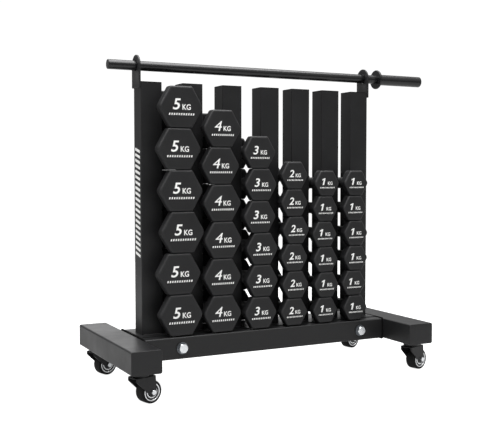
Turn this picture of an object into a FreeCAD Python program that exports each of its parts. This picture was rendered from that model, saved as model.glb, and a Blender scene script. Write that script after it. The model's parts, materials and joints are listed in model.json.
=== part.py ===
# Studio dumbbell rack on casters, loaded with hex dumbbells and a locking bar.
#
# Units are millimetres. X runs along the cross beam, Y from front to back, Z up.
# The origin is on the floor, under the middle of the whole object's outline.
import FreeCAD
import Part
import math
import os

os.makedirs("parts", exist_ok=True)

Vector = FreeCAD.Vector
X_AXIS = Vector(1, 0, 0)
Y_AXIS = Vector(0, 1, 0)
Z_AXIS = Vector(0, 0, 1)

# Base frame
foot_width = 68.0
foot_height = 50.0
foot_length = 370.0
beam_length = 636.0
beam_depth = 150.0
beam_height = 50.0
tube_wall = 2.5
tube_corner = 4.0
smallest_inner_corner = 0.8
end_cap_thickness = 2.0
collar_thickness = 3.0
collar_lip = 2.0
cap_plug_depth = 14.0
cap_plug_gap = 0.4
cap_plug_wall = 2.0
cap_plug_corner = 1.0
base_plate_depth = 95.0
base_plate_thickness = 1.5
base_plate_end_gap = 2.0

# Uprights and the gaps that the dumbbell handles hang in
upright_width = 50.0
upright_depth = 46.0
upright_height = 568.0
upright_wall = 2.0
upright_corner = 2.0
wide_gap = 50.0
narrow_gap = 35.0
gaps = [wide_gap, wide_gap, wide_gap, narrow_gap, narrow_gap, narrow_gap]

# Dumbbells: one column per gap, by nominal weight in kilograms
column_names = ["5kg", "4kg", "3kg", "2kg", "1kg_inner", "1kg_outer"]
column_flats = [92.2, 84.0, 74.4, 64.7, 61.2, 61.2]
column_handle_radius = [17.0, 16.5, 16.0, 15.0, 14.0, 14.0]
# Sideways offset of each dumbbell from its gap's middle, lowest first
column_offsets = [
    [0.1, -4.3, 4.2, 0.9, -3.4, 1.2],
    [2.2, 1.5, 3.2, 1.2, -2.8, 1.6],
    [0.4, 3.9, 3.9, -2.4, 0.4, -3.0],
    [-2.2, 0.9, -2.2, 2.1, -2.2, -1.9],
    [-0.1, 2.9, 0.1, -3.1, -0.7, 3.1],
    [2.0, -2.7, 2.6, 2.6, -0.7, 2.4],
]
dumbbell_length = 148.0
head_thickness = 24.0
head_side_rounding = 0.15
head_corner = 6.0
head_rim = 4.5
handle_waist = 3.0
handle_run_in = 4.0
stack_gap = 0.3

# Locking bar, its brackets and its sleeve
bar_radius = 11.0
bar_axis_height = 604.0
bar_left_reach = 371.5
bar_right_reach = 482.5
bar_end_rounding = 2.0
bracket_width = 48.0
bracket_thickness = 4.0
bracket_overlap = 13.0
bracket_bore_radius = 11.5
flange_radius = 24.0
flange_thickness = 5.0
flange_rim_rounding = 1.5
flange_offset = 343.5
sleeve_radius = 13.5
sleeve_fit = 0.05
sleeve_end_gap = 0.3
sleeve_cap_thickness = 3.0
sleeve_cap_rounding = 1.5
sleeve_cap_stem_radius = 4.0
sleeve_cap_stem_length = 18.0

# Frame bolts through the beam into the foot spigots
bolt_offsets = [-227.5, 248.5]
bolt_radius = 6.0
bolt_hole_gap = 0.25
bolt_head_flats = 19.0
bolt_head_height = 7.5
nut_height = 10.0
crown_share = 0.55
washer_radius = 13.5
washer_thickness = 2.5
bolt_tail = 3.0
spigot_gap = 0.5
spigot_wall = 3.0
spigot_corner = 1.5
spigot_end_margin = 30.0

# Swivel casters
wheel_radius = 25.0
wheel_width = 27.0
tyre_inner_radius = 19.8
tyre_shoulder = 3.0
rim_face_depth = 2.0
rim_ring_width = 3.8
ring_inner_radius = 16.8
dish_inner_radius = 13.6
hub_radius = 6.5
hub_width = 28.4
axle_radius = 3.0
axle_fit = 0.05
axle_head_flats = 10.0
axle_head_height = 4.0
axle_tail = 1.0
caster_height = 69.0
caster_end_inset = 38.0
caster_angle = 15.0
caster_trail = 20.0
race_radius = 19.0
race_thickness = 7.7
fork_gap = 1.3
fork_wall = 2.2
fork_plate = 2.4
fork_front = 24.0
fork_back = 27.0
fork_edge_drop = 6.0
fork_edge_rounding = 2.0
fork_nose_corner = 7.0
fork_boss_radius = 9.0
fork_inner_width = 29.0
lower_race_radius = 16.0
lower_race_height = 0.9
kingpin_radius = 5.0
kingpin_fit = 0.05
kingpin_head_radius = 8.0
kingpin_head_height = 2.0
kingpin_head_gap = 0.3
stem_radius = 6.0
stem_height = 14.0
stem_hole_gap = 0.25

# Derived places
rack_x = -(bar_right_reach - beam_length / 2 - foot_width) / 2
base_top = caster_height + foot_height
floor_of_stack = base_top + base_plate_thickness
upright_top = base_top + upright_height
bar_z = base_top + bar_axis_height
foot_inner = beam_length / 2
foot_middle = foot_inner + foot_width / 2
upright_span = (len(gaps) + 1) * upright_width + sum(gaps)


def upright_lefts():
    """Left face of each upright, measured in X."""
    lefts = [rack_x - upright_span / 2]
    for gap in gaps:
        lefts.append(lefts[-1] + upright_width + gap)
    return lefts


def column_middles():
    """Middle of each gap between uprights, measured in X."""
    lefts = upright_lefts()
    return [left + upright_width + gap / 2 for left, gap in zip(lefts, gaps)]


def box(x_range, y_range, z_range):
    """Plain box between two corners."""
    (x0, x1), (y0, y1), (z0, z1) = x_range, y_range, z_range
    return Part.makeBox(x1 - x0, y1 - y0, z1 - z0, Vector(x0, y0, z0))


def cylinder(radius, length, start, axis):
    """Cylinder from a start point along an axis."""
    return Part.makeCylinder(radius, length, start, axis)


def edges_along(shape, axis):
    """Straight edges of a shape that run along an axis."""
    found = []
    for edge in shape.Edges:
        if len(edge.Vertexes) == 2:
            run = edge.Vertexes[1].Point.sub(edge.Vertexes[0].Point)
            if run.Length > 1e-6 and abs(run.dot(axis)) / run.Length > 0.9999:
                found.append(edge)
    return found


def rounded_bar(x_range, y_range, z_range, axis, radius):
    """Box whose four long edges, along one axis, are rounded."""
    solid = box(x_range, y_range, z_range)
    return solid.makeFillet(radius, edges_along(solid, axis))


def shrink(span, amount):
    """Bring both ends of a range in by an amount."""
    return (span[0] + amount, span[1] - amount)


def rounded_tube(x_range, y_range, z_range, axis, radius, wall):
    """Rectangular tube, open at both ends, that runs along one axis."""
    outer = rounded_bar(x_range, y_range, z_range, axis, radius)
    ranges = []
    for span, unit in zip((x_range, y_range, z_range), (X_AXIS, Y_AXIS, Z_AXIS)):
        ranges.append(span if unit.dot(axis) > 0.5 else shrink(span, wall))
    inner = rounded_bar(ranges[0], ranges[1], ranges[2], axis, max(radius - wall, smallest_inner_corner))
    return outer.cut(inner)


def hexagon(flats, across):
    """Hexagonal face with a corner on +X, spread along X and a second direction."""
    corners = []
    for index in range(6):
        angle = math.radians(60 * index)
        corner = X_AXIS * math.cos(angle) + across * math.sin(angle)
        corners.append(corner * (flats / math.sqrt(3)))
    return Part.Face(Part.makePolygon(corners + corners[:1]))


def hex_prism(flats, height, start, axis, hole_radius=0.0):
    """Hexagonal nut or bolt head, chamfered at its far end, along an axis."""
    prism = hexagon(flats, Y_AXIS).extrude(Vector(0, 0, height))
    crown = Part.makeCone(flats / 2, flats / 2 + height, height, Vector(0, 0, height), -Z_AXIS)
    below = cylinder(flats, height * crown_share, Vector(0, 0, 0), Z_AXIS)
    prism = prism.common(crown.fuse(below))
    if hole_radius:
        prism = prism.cut(cylinder(hole_radius, height, Vector(0, 0, 0), Z_AXIS))
    prism.Placement = FreeCAD.Placement(start, FreeCAD.Rotation(Z_AXIS, axis))
    return prism


def washer(start, axis):
    """Flat washer from a start point along an axis."""
    disc = cylinder(washer_radius, washer_thickness, start, axis)
    return disc.cut(cylinder(bolt_radius + bolt_hole_gap, washer_thickness, start, axis))


def revolved(points, axis, center):
    """Closed profile of (radius, height) points turned about an axis through a center."""
    corners = [Vector(radius, 0, height) for radius, height in points]
    face = Part.Face(Part.makePolygon(corners + corners[:1]))
    solid = face.revolve(Vector(0, 0, 0), Z_AXIS, 360)
    solid.Placement = FreeCAD.Placement(center, FreeCAD.Rotation(Z_AXIS, axis))
    return solid


# Base frame ---------------------------------------------------------------------------

def foot_tube(side):
    """Foot tube on one side, -1 left or 1 right, with holes for the caster stems."""
    middle = rack_x + side * foot_middle
    half = foot_length / 2 - end_cap_thickness
    tube = rounded_tube((middle - foot_width / 2, middle + foot_width / 2), (-half, half),
                        (caster_height, base_top), Y_AXIS, tube_corner, tube_wall)
    for end in (-1, 1):
        start = Vector(middle, end * caster_y(), caster_height)
        tube = tube.cut(cylinder(stem_radius + stem_hole_gap, tube_wall, start, Z_AXIS))
    return tube


def foot_end_cap(side, end):
    """Plastic cap with a plug that fits inside the end of a foot tube."""
    middle = rack_x + side * foot_middle
    outer = foot_length / 2
    inner = outer - end_cap_thickness
    plate_y = (inner, outer) if end > 0 else (-outer, -inner)
    plug_y = (inner - cap_plug_depth, inner) if end > 0 else (-inner, -inner + cap_plug_depth)
    width = (middle - foot_width / 2, middle + foot_width / 2)
    height = (caster_height, base_top)
    plate = rounded_bar(width, plate_y, height, Y_AXIS, tube_corner)
    inset = tube_wall + cap_plug_gap
    plug = rounded_bar(shrink(width, inset), plug_y, shrink(height, inset), Y_AXIS,
                       cap_plug_corner)
    room = inset + cap_plug_wall
    hollow = box(shrink(width, room), plug_y, shrink(height, room))
    return plate.fuse(plug.cut(hollow))


def cross_beam():
    """Wide box beam between the collars, with clear holes for the frame bolts."""
    half = foot_inner - collar_thickness
    beam = rounded_tube((rack_x - half, rack_x + half), (-beam_depth / 2, beam_depth / 2),
                        (base_top - beam_height, base_top), X_AXIS, tube_corner, tube_wall)
    return bolt_holes(beam)


def beam_end_collar(side):
    """Plastic collar between the beam's end and a foot, a little larger than the beam."""
    outer = rack_x + side * foot_inner
    inner = outer - side * collar_thickness
    depth = beam_depth / 2 + collar_lip
    height = (base_top - beam_height - collar_lip, base_top + collar_lip)
    return rounded_tube((min(outer, inner), max(outer, inner)), (-depth, depth), height,
                        X_AXIS, tube_corner, tube_wall + collar_lip)


def bolt_holes(shape):
    """Bore the frame-bolt holes through a shape from front to back."""
    for offset in bolt_offsets:
        start = Vector(rack_x + offset, -beam_depth, base_top - beam_height / 2)
        shape = shape.cut(cylinder(bolt_radius + bolt_hole_gap, 2 * beam_depth, start, Y_AXIS))
    return shape


def spigot(side):
    """Short tube welded to a foot that slides inside the end of the beam."""
    bolt_x = bolt_offsets[0] if side < 0 else bolt_offsets[1]
    reach = (side * foot_inner, bolt_x - side * spigot_end_margin)
    inset = tube_wall + spigot_gap
    depth = (-beam_depth / 2 + inset, beam_depth / 2 - inset)
    height = (base_top - beam_height + inset, base_top - inset)
    length = (rack_x + min(reach), rack_x + max(reach))
    return bolt_holes(rounded_tube(length, depth, height, X_AXIS, spigot_corner, spigot_wall))


def base_plate():
    """Thin plate along the beam's top that the uprights are welded to."""
    half = foot_inner - collar_thickness - base_plate_end_gap
    return box((rack_x - half, rack_x + half), (-base_plate_depth / 2, base_plate_depth / 2),
               (base_top, floor_of_stack))


def frame_bolt(offset):
    """Hex bolt that crosses the beam from front to back."""
    x = rack_x + offset
    z = base_top - beam_height / 2
    face = beam_depth / 2 + washer_thickness
    shank_length = 2 * face + nut_height + bolt_tail
    shank = cylinder(bolt_radius, shank_length, Vector(x, -face, z), Y_AXIS)
    head = hex_prism(bolt_head_flats, bolt_head_height, Vector(x, -face, z), -Y_AXIS)
    return shank.fuse(head)


def frame_washers():
    """Washers under each bolt head and each nut."""
    found = []
    for offset in bolt_offsets:
        for side in (-1, 1):
            start = Vector(rack_x + offset, side * beam_depth / 2, base_top - beam_height / 2)
            found.append(washer(start, Y_AXIS * side))
    return found


def frame_nut(offset):
    """Nut on the back end of a frame bolt."""
    start = Vector(rack_x + offset, beam_depth / 2 + washer_thickness, base_top - beam_height / 2)
    return hex_prism(bolt_head_flats, nut_height, start, Y_AXIS, bolt_radius)


# Uprights -----------------------------------------------------------------------------

def upright(left):
    """Rectangular upright tube that stands on the base plate."""
    return rounded_tube((left, left + upright_width), (-upright_depth / 2, upright_depth / 2),
                        (floor_of_stack, upright_top - end_cap_thickness), Z_AXIS,
                        upright_corner, upright_wall)


def upright_cap(left):
    """Plastic cap with a hollow plug that closes the top of an upright."""
    width = (left, left + upright_width)
    depth = (-upright_depth / 2, upright_depth / 2)
    under = upright_top - end_cap_thickness
    plate = rounded_bar(width, depth, (under, upright_top), Z_AXIS, upright_corner)
    inset = upright_wall + cap_plug_gap
    plug_z = (under - cap_plug_depth, under)
    plug = box(shrink(width, inset), shrink(depth, inset), plug_z)
    room = inset + cap_plug_wall
    hollow = box(shrink(width, room), shrink(depth, room), plug_z)
    return plate.fuse(plug.cut(hollow))


# Locking bar --------------------------------------------------------------------------

def bar_bracket(side):
    """Flat bracket on an outer upright, with a round eye that the bar passes through."""
    inner = rack_x + side * upright_span / 2
    x_range = (inner - bracket_thickness, inner) if side < 0 else (inner, inner + bracket_thickness)
    strap = box(x_range, (-bracket_width / 2, bracket_width / 2),
                (upright_top - bracket_overlap, bar_z))
    start = Vector(x_range[0], 0, bar_z)
    eye = cylinder(bracket_width / 2, bracket_thickness, start, X_AXIS)
    bore = cylinder(bracket_bore_radius, bracket_thickness, start, X_AXIS)
    return strap.fuse(eye).removeSplitter().cut(bore)


def bar_shaft():
    """Round bar from the left end to the end of the sleeve, bored for the sleeve cap."""
    left = rack_x - bar_left_reach
    right = rack_x + bar_right_reach - sleeve_cap_thickness - sleeve_end_gap
    shaft = cylinder(bar_radius, right - left, Vector(left, 0, bar_z), X_AXIS)
    rim = [edge for edge in shaft.Edges if abs(edge.BoundBox.XMax - left) < 1e-6]
    shaft = shaft.makeFillet(bar_end_rounding, rim)
    socket = Vector(right - sleeve_cap_stem_length, 0, bar_z)
    return shaft.cut(cylinder(sleeve_cap_stem_radius, sleeve_cap_stem_length, socket, X_AXIS))


def bar_flange():
    """Round flange on the bar that stops it against plates and hands."""
    start = Vector(rack_x + flange_offset, 0, bar_z)
    disc = cylinder(flange_radius, flange_thickness, start, X_AXIS)
    rims = [edge for edge in disc.Edges if edge.BoundBox.XLength < 1e-6]
    disc = disc.makeFillet(flange_rim_rounding, rims)
    return disc.cut(cylinder(bar_radius, flange_thickness, start, X_AXIS))


def bar_sleeve():
    """Thicker tube beyond the flange that turns on the bar."""
    left = rack_x + flange_offset + flange_thickness + sleeve_end_gap
    right = rack_x + bar_right_reach - sleeve_cap_thickness - sleeve_end_gap
    tube = cylinder(sleeve_radius, right - left, Vector(left, 0, bar_z), X_AXIS)
    bore = cylinder(bar_radius + sleeve_fit, right - left, Vector(left, 0, bar_z), X_AXIS)
    return tube.cut(bore)


def sleeve_cap():
    """Domed cap screwed into the bar's end, which keeps the sleeve on."""
    right = rack_x + bar_right_reach
    start = Vector(right - sleeve_cap_thickness, 0, bar_z)
    disc = cylinder(sleeve_radius, sleeve_cap_thickness, start, X_AXIS)
    rim = [edge for edge in disc.Edges if abs(edge.BoundBox.XMin - right) < 1e-6]
    disc = disc.makeFillet(sleeve_cap_rounding, rim)
    stem_start = Vector(right - sleeve_cap_thickness - sleeve_cap_stem_length, 0, bar_z)
    return disc.fuse(cylinder(sleeve_cap_stem_radius, sleeve_cap_stem_length, stem_start, X_AXIS))


# Dumbbells ----------------------------------------------------------------------------

def hex_head(flats):
    """Hexagonal head along +Y from the origin, flats at top and bottom, edges rounded."""
    head = hexagon(flats, Z_AXIS).extrude(Vector(0, head_thickness, 0))
    sides = [edge for edge in edges_along(head, Y_AXIS) if abs(edge.Vertexes[0].Point.z) < 1e-6]
    head = head.makeFillet(head_side_rounding * flats, sides)
    corner_z = flats / 2
    corners = [edge for edge in edges_along(head, Y_AXIS)
               if abs(abs(edge.Vertexes[0].Point.z) - corner_z) < 1e-3]
    head = head.makeFillet(head_corner, corners)
    rims = [edge for edge in head.Edges if edge.BoundBox.YLength < 1e-6]
    return head.makeFillet(head_rim, rims)


def handle(radius):
    """Grip along Y, thickest in the middle, that runs a little into both heads."""
    half = dumbbell_length / 2 - head_thickness + handle_run_in
    end_radius = radius - handle_waist
    edge = Part.Arc(Vector(end_radius, -half, 0), Vector(radius, 0, 0),
                    Vector(end_radius, half, 0)).toShape()
    outline = Part.Wire([edge, Part.makeLine(Vector(end_radius, half, 0), Vector(0, half, 0)),
                         Part.makeLine(Vector(0, half, 0), Vector(0, -half, 0)),
                         Part.makeLine(Vector(0, -half, 0), Vector(end_radius, -half, 0))])
    return Part.Face(outline).revolve(Vector(0, 0, 0), Y_AXIS, 360)


def dumbbell(flats, grip_radius):
    """One dumbbell, centred on the origin with its length along Y."""
    front = hex_head(flats)
    front.translate(Vector(0, -dumbbell_length / 2, 0))
    back = hex_head(flats)
    back.translate(Vector(0, dumbbell_length / 2 - head_thickness, 0))
    return handle(grip_radius).fuse([front, back])


def stack(column):
    """Six dumbbells of one column, lowest first, each resting on the one below."""
    flats = column_flats[column]
    model = dumbbell(flats, column_handle_radius[column])
    middle = column_middles()[column]
    placed = []
    for level, offset in enumerate(column_offsets[column]):
        height = floor_of_stack + stack_gap + flats / 2 + level * (flats + stack_gap)
        piece = model.copy()
        piece.translate(Vector(middle + offset, 0, height))
        placed.append(piece)
    return placed


# Casters ------------------------------------------------------------------------------

def caster_y():
    """Distance of a caster's kingpin from the middle of the foot."""
    return foot_length / 2 - caster_end_inset


def caster_stem():
    """Upper race, threaded stem and kingpin, in the caster's own frame."""
    top = caster_height
    race_under = top - race_thickness
    race = cylinder(race_radius, race_thickness, Vector(0, 0, race_under), Z_AXIS)
    stem = cylinder(stem_radius, stem_height, Vector(0, 0, top), Z_AXIS)
    pin_bottom = fork_underside() - kingpin_head_gap - kingpin_head_height
    pin = cylinder(kingpin_radius, race_under - pin_bottom, Vector(0, 0, pin_bottom), Z_AXIS)
    head = cylinder(kingpin_head_radius, kingpin_head_height, Vector(0, 0, pin_bottom), Z_AXIS)
    return race.fuse([stem, pin, head])


def stem_nut():
    """Nut that holds the stem, inside the foot tube."""
    start = Vector(0, 0, caster_height + tube_wall)
    return hex_prism(bolt_head_flats, nut_height, start, Z_AXIS, stem_radius)


def fork_top():
    """Height of the upper face of the fork's plate."""
    return caster_height - race_thickness - fork_gap


def fork_underside():
    """Height of the under face of the fork's plate."""
    return fork_top() - fork_plate


def caster_fork():
    """Stamped fork: a top plate and two legs that taper to the axle."""
    outer = fork_inner_width / 2 + fork_wall
    top = fork_top()
    shoulder = top - fork_edge_drop
    axle = Vector(caster_trail, 0, wheel_radius)
    slope_start = Vector(-fork_front, 0, shoulder)
    away = axle.sub(slope_start)
    turn = math.atan2(away.z, away.x) - math.asin(fork_boss_radius / away.Length)
    tangent = Vector(axle.x + fork_boss_radius * math.sin(turn), 0,
                     axle.z - fork_boss_radius * math.cos(turn))
    bottom = Vector(axle.x, 0, axle.z - fork_boss_radius)
    behind = Vector(axle.x + fork_boss_radius, 0, axle.z)
    arc_mid = Vector(axle.x + fork_boss_radius * math.sin(math.pi / 4), 0,
                     axle.z - fork_boss_radius * math.cos(math.pi / 4))
    low_angle = (turn - math.pi) / 2
    low_mid = Vector(axle.x + fork_boss_radius * math.cos(low_angle), 0,
                     axle.z + fork_boss_radius * math.sin(low_angle))
    outline = [
        Part.makeLine(Vector(-fork_front, 0, top), slope_start),
        Part.makeLine(slope_start, tangent),
        Part.Arc(tangent, low_mid, bottom).toShape(),
        Part.Arc(bottom, arc_mid, behind).toShape(),
        Part.makeLine(behind, Vector(fork_back, 0, shoulder)),
        Part.makeLine(Vector(fork_back, 0, shoulder), Vector(fork_back, 0, top)),
        Part.makeLine(Vector(fork_back, 0, top), Vector(-fork_front, 0, top)),
    ]
    block = Part.Face(Part.Wire(outline)).extrude(Vector(0, 2 * outer, 0))
    block.translate(Vector(0, -outer, 0))
    plan = rounded_bar((-fork_front, fork_front + fork_back), (-outer, outer),
                       (0, caster_height), Z_AXIS, fork_nose_corner)
    block = block.common(plan)
    top_edges = [edge for edge in edges_along(block, X_AXIS)
                 if abs(edge.Vertexes[0].Point.z - top) < 1e-6]
    block = block.makeFillet(fork_edge_rounding, top_edges)
    room = box((-2 * fork_front, 2 * fork_back),
               (-fork_inner_width / 2, fork_inner_width / 2), (0, fork_underside()))
    fork = block.cut(room)
    race = cylinder(lower_race_radius, lower_race_height, Vector(0, 0, top), Z_AXIS)
    fork = fork.fuse(race)
    pin_hole = cylinder(kingpin_radius + kingpin_fit, caster_height, Vector(0, 0, 0), Z_AXIS)
    fork = fork.cut(pin_hole)
    start = Vector(caster_trail, -outer, wheel_radius)
    return fork.cut(cylinder(axle_radius, 2 * outer, start, Y_AXIS))


def caster_axle():
    """Axle bolt with a hex head in front and a nut behind."""
    outer = fork_inner_width / 2 + fork_wall
    start = Vector(caster_trail, -outer, wheel_radius)
    shank = cylinder(axle_radius, 2 * outer + axle_head_height + axle_tail, start, Y_AXIS)
    head = hex_prism(axle_head_flats, axle_head_height, start, -Y_AXIS)
    nut = hex_prism(axle_head_flats, axle_head_height, start + Vector(0, 2 * outer, 0), Y_AXIS)
    return shank.fuse([head, nut])


def caster_tyre():
    """Tyre with rounded shoulders."""
    half = wheel_width / 2
    outer = wheel_radius
    tyre = revolved([(tyre_inner_radius, -half), (outer, -half), (outer, half),
                     (tyre_inner_radius, half)], Y_AXIS, Vector(caster_trail, 0, wheel_radius))
    shoulders = [edge for edge in tyre.Edges
                 if edge.Curve.TypeId == "Part::GeomCircle"
                 and abs(edge.Curve.Radius - outer) < 1e-6]
    return tyre.makeFillet(tyre_shoulder, shoulders)


def caster_rim():
    """Wheel centre with a raised outer ring, a dished web, a second ring and a hub."""
    half = wheel_width / 2
    bore = axle_radius + axle_fit
    edge = tyre_inner_radius
    low = half - rim_face_depth
    hub = hub_width / 2
    ring = dish_inner_radius - rim_ring_width
    steps = [(edge, half), (ring_inner_radius, half), (ring_inner_radius, low),
             (dish_inner_radius, low), (dish_inner_radius, half), (ring, half),
             (ring, low), (hub_radius, low), (hub_radius, hub), (bore, hub)]
    mirrored = [(radius, -height) for radius, height in reversed(steps)]
    return revolved(steps + mirrored, Y_AXIS, Vector(caster_trail, 0, wheel_radius))


def place_caster(shape, side, end):
    """Turn a caster piece to its parked angle and move it under a foot's end."""
    placed = shape.copy()
    placed.rotate(Vector(0, 0, 0), Z_AXIS, caster_angle)
    placed.translate(Vector(rack_x + side * foot_middle, end * caster_y(), 0))
    return placed


def export(name, solids):
    """Write one named node from one or more solids."""
    pieces = []
    for solid in solids:
        pieces += solid.Solids
    shape = pieces[0] if len(pieces) == 1 else Part.makeCompound(pieces)
    shape.exportStep("parts/" + name + ".step")


def build_frame():
    """Feet, beam, base plate and their fasteners."""
    for side, label in ((-1, "left"), (1, "right")):
        export("foot_tube_" + label, [foot_tube(side)])
        export("foot_spigot_" + label, [spigot(side)])
    export("foot_end_caps", [foot_end_cap(side, end) for side in (-1, 1) for end in (-1, 1)])
    export("cross_beam", [cross_beam()])
    export("beam_end_collars", [beam_end_collar(-1), beam_end_collar(1)])
    export("upright_base_plate", [base_plate()])
    export("frame_bolts", [frame_bolt(offset) for offset in bolt_offsets])
    export("frame_washers", frame_washers())
    export("frame_nuts", [frame_nut(offset) for offset in bolt_offsets])


def build_uprights():
    """Seven uprights and their caps."""
    for number, left in enumerate(upright_lefts(), start=1):
        export("upright_" + str(number), [upright(left)])
    export("upright_caps", [upright_cap(left) for left in upright_lefts()])


def build_bar():
    """Brackets, bar, flange, sleeve and cap."""
    export("bar_bracket_left", [bar_bracket(-1)])
    export("bar_bracket_right", [bar_bracket(1)])
    export("bar_shaft", [bar_shaft()])
    export("bar_flange", [bar_flange()])
    export("bar_sleeve", [bar_sleeve()])
    export("bar_sleeve_cap", [sleeve_cap()])


def build_dumbbells():
    """The top dumbbell of each column, and the five below it."""
    for column, name in enumerate(column_names):
        pieces = stack(column)
        export("dumbbell_" + name + "_top", pieces[-1:])
        export("dumbbells_" + name + "_lower", pieces[:-1])


def build_casters():
    """Stems and nuts on the frame, and four forks, axles, tyres and rims."""
    corners = []
    for side, across in ((-1, "left"), (1, "right")):
        for end, along in ((-1, "front"), (1, "back")):
            corners.append((side, end, along + "_" + across))
    stem = caster_stem()
    nut = stem_nut()
    export("caster_stems", [place_caster(stem, side, end) for side, end, _ in corners])
    export("caster_stem_nuts", [place_caster(nut, side, end) for side, end, _ in corners])
    moving = {"fork": caster_fork(), "axle": caster_axle(),
              "tyre": caster_tyre(), "rim": caster_rim()}
    for side, end, corner in corners:
        for piece, shape in moving.items():
            export("caster_" + piece + "_" + corner, [place_caster(shape, side, end)])


build_frame()
build_uprights()
build_bar()
build_dumbbells()
build_casters()
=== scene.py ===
import json
import logging
import math
from dataclasses import dataclass
from enum import Enum
from typing import Any, Mapping, Sequence

import bmesh
import bpy
import numpy as np
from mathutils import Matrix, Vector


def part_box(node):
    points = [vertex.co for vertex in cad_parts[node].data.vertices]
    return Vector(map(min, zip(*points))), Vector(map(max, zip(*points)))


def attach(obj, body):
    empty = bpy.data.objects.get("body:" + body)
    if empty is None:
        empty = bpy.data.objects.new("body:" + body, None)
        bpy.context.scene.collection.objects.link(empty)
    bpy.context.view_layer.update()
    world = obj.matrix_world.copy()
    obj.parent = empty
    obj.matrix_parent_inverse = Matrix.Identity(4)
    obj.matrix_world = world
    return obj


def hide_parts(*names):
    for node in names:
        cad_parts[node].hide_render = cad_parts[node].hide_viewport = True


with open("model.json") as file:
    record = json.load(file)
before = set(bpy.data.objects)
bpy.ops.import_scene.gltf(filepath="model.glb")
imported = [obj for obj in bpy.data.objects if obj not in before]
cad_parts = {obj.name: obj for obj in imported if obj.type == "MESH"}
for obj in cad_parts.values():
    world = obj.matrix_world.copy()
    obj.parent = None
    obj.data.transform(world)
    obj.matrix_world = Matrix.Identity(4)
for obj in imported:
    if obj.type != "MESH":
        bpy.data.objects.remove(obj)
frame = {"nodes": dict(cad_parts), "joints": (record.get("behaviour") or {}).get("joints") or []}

LOG = logging.getLogger("dumbbell_rack")
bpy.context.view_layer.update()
MM = 0.001
NODES = frame["nodes"]

# Turns from a flat drawing (right, up, towards the viewer) to the faces that it lies on.
FACING_FRONT = np.array([[1.0, 0.0, 0.0], [0.0, 0.0, -1.0], [0.0, 1.0, 0.0]])
FACING_BACK = np.array([[-1.0, 0.0, 0.0], [0.0, 0.0, 1.0], [0.0, 1.0, 0.0]])
FACING_RIGHT = np.array([[0.0, 0.0, 1.0], [1.0, 0.0, 0.0], [0.0, 1.0, 0.0]])
FACING_LEFT = np.array([[0.0, 0.0, -1.0], [-1.0, 0.0, 0.0], [0.0, 1.0, 0.0]])
FACING_UP = np.eye(3)


# Surfaces -----------------------------------------------------------------------------

@dataclass(frozen=True)
class Surface:
    """Points in metres, faces of four and three corners, and at each point a value for the edge
    colour: partly wear, partly a painted highlight.
    """

    points: np.ndarray
    quads: np.ndarray
    triangles: np.ndarray
    wear_and_highlight: np.ndarray

    def placed(self, turn: np.ndarray, shift: Sequence[float]) -> "Surface":
        """Turns or stretches the surface by a matrix, then moves it.

        Args:
            turn: 3 by 3 matrix.
            shift: how far it then moves along X, Y and Z, in metres.

        Returns:
            The surface in its new place.
        """
        points = self.points @ turn.T + np.asarray(shift, dtype=float)
        return Surface(points, self.quads, self.triangles, self.wear_and_highlight)


def joined(parts: Sequence[Surface]) -> Surface:
    """Puts several surfaces into one, each face's corners raised by the points before it.

    Args:
        parts: the surfaces.

    Returns:
        One surface.
    """
    starts = np.cumsum([0] + [len(part.points) for part in parts[:-1]])
    return Surface(
        np.concatenate([part.points for part in parts]),
        np.concatenate([part.quads + start for part, start in zip(parts, starts)]),
        np.concatenate([part.triangles + start for part, start in zip(parts, starts)]),
        np.concatenate([part.wear_and_highlight for part in parts]),
    )


def facing_out(surface: Surface) -> Surface:
    """Turns a closed surface's faces outwards.

    Six times the volume is the sum of a . (b x c) over its triangles, which is negative
    where the faces point inwards.

    Args:
        surface: a closed surface.

    Returns:
        The same surface with its faces outwards.
    """
    quads = surface.quads
    corners = np.concatenate([quads[:, [0, 1, 2]], quads[:, [0, 2, 3]], surface.triangles])
    first, second, third = (surface.points[corners[:, k]] for k in range(3))
    if np.einsum("ij,ij->", first, np.cross(second, third)) >= 0.0:
        return surface
    return Surface(surface.points, quads[:, ::-1], surface.triangles[:, ::-1], surface.wear_and_highlight)


def loft(rings: np.ndarray, wear_and_highlight: np.ndarray | None = None, looped: bool = False) -> Surface:
    """Skins a stack of closed rings. Face (i, j) joins points j and j + 1 of rings i and i + 1.

    Args:
        rings: points in metres, shaped (rings, points around, 3).
        wear_and_highlight: one value of edge wear and painted highlight for each ring, or None for
            none.
        looped: the last ring joins the first. Otherwise both end rings close on a pole.

    Returns:
        A closed surface with its faces outwards.
    """
    rows, around = rings.shape[:2]
    row = np.arange(rows if looped else rows - 1)[:, None]
    column = np.arange(around)[None, :]
    below, beside = (row + 1) % rows, (column + 1) % around
    quads = np.stack([row * around + column, row * around + beside,
                      below * around + beside, below * around + column], axis=-1).reshape(-1, 4)
    values = np.repeat(np.zeros(rows) if wear_and_highlight is None else wear_and_highlight, around)
    points = rings.reshape(-1, 3)
    triangles = np.zeros((0, 3), dtype=int)
    if not looped:
        here, following = column[0], beside[0]
        last = (rows - 1) * around
        first_pole = np.full(around, rows * around)
        triangles = np.concatenate([
            np.stack([first_pole, following, here], axis=-1),
            np.stack([first_pole + 1, last + here, last + following], axis=-1)])
        points = np.concatenate([points, rings[[0, -1]].mean(axis=1)])
        values = np.concatenate([values, np.zeros(2)])
    return facing_out(Surface(points, quads, triangles, values))


@dataclass(frozen=True)
class Outline:
    """Closed flat outline in millimetres, with the outward direction at each point."""

    points: np.ndarray
    outward: np.ndarray

    def inset(self, distance: float) -> np.ndarray:
        """The outline moved inwards by a distance."""
        return self.points - self.outward * distance

    def circled(self, radius: float) -> np.ndarray:
        """Points on a circle, each in the direction of the outline's own point."""
        return self.points * (radius / np.linalg.norm(self.points, axis=1, keepdims=True))


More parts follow.
